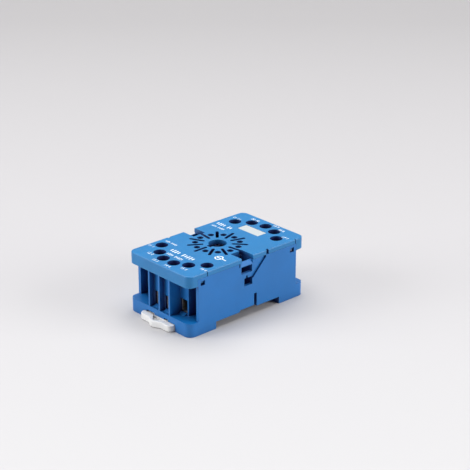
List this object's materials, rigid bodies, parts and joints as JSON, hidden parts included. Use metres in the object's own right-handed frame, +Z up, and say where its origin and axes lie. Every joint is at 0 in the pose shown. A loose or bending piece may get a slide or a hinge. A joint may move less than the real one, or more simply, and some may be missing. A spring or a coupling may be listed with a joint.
{
  "type": "relay socket",
  "caption": "Plug-in relay socket with box-clamp screw terminals, pin contacts round a keyed centre hole, and a pull-out clip for a 35 mm rail.",
  "frame": {"origin": "middle of the bounding box, at the feet", "axes": "+X across the socket, +Y along its length away from the rail clip's tab, +Z up from the feet to the cover"},
  "size_m": [0.0384, 0.0692, 0.027],
  "materials": {
    "housing_plastic": "satin blue",
    "cover_plastic": "satin blue",
    "tag_plastic": "satin white",
    "clip_plastic": "satin white",
    "contact_brass": "plain",
    "cage_steel": "zinc plated",
    "screw_steel": "zinc plated"
  },
  "bodies": {
    "root": {"housing": "housing_plastic", "cover": "cover_plastic", "marking_tag": "tag_plastic", "contact_1": "contact_brass", "contact_2": "contact_brass", "contact_3": "contact_brass", "contact_4": "contact_brass", "contact_5": "contact_brass", "contact_6": "contact_brass", "contact_7": "contact_brass", "contact_8": "contact_brass", "contact_9": "contact_brass", "contact_10": "contact_brass", "contact_11": "contact_brass"},
    "rail_clip": {"rail_clip": "clip_plastic", "rail_clip_spring": "clip_plastic"},
    "screw_1": {"screw_1": "screw_steel"},
    "clamp_1": {"clamp_1": "cage_steel"},
    "screw_2": {"screw_2": "screw_steel"},
    "clamp_2": {"clamp_2": "cage_steel"},
    "screw_3": {"screw_3": "screw_steel"},
    "clamp_3": {"clamp_3": "cage_steel"},
    "screw_4": {"screw_4": "screw_steel"},
    "clamp_4": {"clamp_4": "cage_steel"},
    "screw_5": {"screw_5": "screw_steel"},
    "clamp_5": {"clamp_5": "cage_steel"},
    "screw_6": {"screw_6": "screw_steel"},
    "clamp_6": {"clamp_6": "cage_steel"},
    "screw_7": {"screw_7": "screw_steel"},
    "clamp_7": {"clamp_7": "cage_steel"},
    "screw_8": {"screw_8": "screw_steel"},
    "clamp_8": {"clamp_8": "cage_steel"},
    "screw_9": {"screw_9": "screw_steel"},
    "clamp_9": {"clamp_9": "cage_steel"},
    "screw_10": {"screw_10": "screw_steel"},
    "clamp_10": {"clamp_10": "cage_steel"},
    "screw_11": {"screw_11": "screw_steel"},
    "clamp_11": {"clamp_11": "cage_steel"}
  },
  "joints": [
    {"name": "rail_clip_slide", "type": "slide", "parent": "root", "child": "rail_clip", "axis": [0, -1, 0], "range_m": [0, 0.0025], "stiffness_N_per_m": 1200, "springref_m": -0.001, "deforming": ["rail_clip_spring"]},
    {"name": "screw_1_turn", "type": "hinge", "parent": "root", "child": "screw_1", "pos_m": [-0.01433, -0.0164, 0.01355], "axis": [0, 0, -1], "range_deg": [0, 2880]},
    {"name": "clamp_1_rise", "type": "slide", "parent": "root", "child": "clamp_1", "axis": [0, 0, 1], "range_m": [0, 0.004]},
    {"name": "screw_2_turn", "type": "hinge", "parent": "root", "child": "screw_2", "pos_m": [-0.00915, -0.0218, 0.01355], "axis": [0, 0, -1], "range_deg": [0, 2880]},
    {"name": "clamp_2_rise", "type": "slide", "parent": "root", "child": "clamp_2", "axis": [0, 0, 1], "range_m": [0, 0.004]},
    {"name": "screw_3_turn", "type": "hinge", "parent": "root", "child": "screw_3", "pos_m": [-0.0033, -0.0248, 0.01355], "axis": [0, 0, -1], "range_deg": [0, 2880]},
    {"name": "clamp_3_rise", "type": "slide", "parent": "root", "child": "clamp_3", "axis": [0, 0, 1], "range_m": [0, 0.004]},
    {"name": "screw_4_turn", "type": "hinge", "parent": "root", "child": "screw_4", "pos_m": [0.0033, -0.0248, 0.01355], "axis": [0, 0, -1], "range_deg": [0, 2880]},
    {"name": "clamp_4_rise", "type": "slide", "parent": "root", "child": "clamp_4", "axis": [0, 0, 1], "range_m": [0, 0.004]},
    {"name": "screw_5_turn", "type": "hinge", "parent": "root", "child": "screw_5", "pos_m": [0.00915, -0.0218, 0.01355], "axis": [0, 0, -1], "range_deg": [0, 2880]},
    {"name": "clamp_5_rise", "type": "slide", "parent": "root", "child": "clamp_5", "axis": [0, 0, 1], "range_m": [0, 0.004]},
    {"name": "screw_6_turn", "type": "hinge", "parent": "root", "child": "screw_6", "pos_m": [0.01433, -0.0164, 0.01355], "axis": [0, 0, -1], "range_deg": [0, 2880]},
    {"name": "clamp_6_rise", "type": "slide", "parent": "root", "child": "clamp_6", "axis": [0, 0, 1], "range_m": [0, 0.004]},
    {"name": "screw_7_turn", "type": "hinge", "parent": "root", "child": "screw_7", "pos_m": [0.01295, 0.0239, 0.01355], "axis": [0, 0, -1], "range_deg": [0, 2880]},
    {"name": "clamp_7_rise", "type": "slide", "parent": "root", "child": "clamp_7", "axis": [0, 0, 1], "range_m": [0, 0.004]},
    {"name": "screw_8_turn", "type": "hinge", "parent": "root", "child": "screw_8", "pos_m": [0.007, 0.0284, 0.01355], "axis": [0, 0, -1], "range_deg": [0, 2880]},
    {"name": "clamp_8_rise", "type": "slide", "parent": "root", "child": "clamp_8", "axis": [0, 0, 1], "range_m": [0, 0.004]},
    {"name": "screw_9_turn", "type": "hinge", "parent": "root", "child": "screw_9", "pos_m": [0, 0.03, 0.01355], "axis": [0, 0, -1], "range_deg": [0, 2880]},
    {"name": "clamp_9_rise", "type": "slide", "parent": "root", "child": "clamp_9", "axis": [0, 0, 1], "range_m": [0, 0.004]},
    {"name": "screw_10_turn", "type": "hinge", "parent": "root", "child": "screw_10", "pos_m": [-0.007, 0.0284, 0.01355], "axis": [0, 0, -1], "range_deg": [0, 2880]},
    {"name": "clamp_10_rise", "type": "slide", "parent": "root", "child": "clamp_10", "axis": [0, 0, 1], "range_m": [0, 0.004]},
    {"name": "screw_11_turn", "type": "hinge", "parent": "root", "child": "screw_11", "pos_m": [-0.01295, 0.0239, 0.01355], "axis": [0, 0, -1], "range_deg": [0, 2880]},
    {"name": "clamp_11_rise", "type": "slide", "parent": "root", "child": "clamp_11", "axis": [0, 0, 1], "range_m": [0, 0.004]}
  ],
  "couplings": [
    {"joint": "screw_1_turn", "follows": "clamp_1_rise", "rad_per_m": 12566},
    {"joint": "screw_2_turn", "follows": "clamp_2_rise", "rad_per_m": 12566},
    {"joint": "screw_3_turn", "follows": "clamp_3_rise", "rad_per_m": 12566},
    {"joint": "screw_4_turn", "follows": "clamp_4_rise", "rad_per_m": 12566},
    {"joint": "screw_5_turn", "follows": "clamp_5_rise", "rad_per_m": 12566},
    {"joint": "screw_6_turn", "follows": "clamp_6_rise", "rad_per_m": 12566},
    {"joint": "screw_7_turn", "follows": "clamp_7_rise", "rad_per_m": 12566},
    {"joint": "screw_8_turn", "follows": "clamp_8_rise", "rad_per_m": 12566},
    {"joint": "screw_9_turn", "follows": "clamp_9_rise", "rad_per_m": 12566},
    {"joint": "screw_10_turn", "follows": "clamp_10_rise", "rad_per_m": 12566},
    {"joint": "screw_11_turn", "follows": "clamp_11_rise", "rad_per_m": 12566}
  ]
}
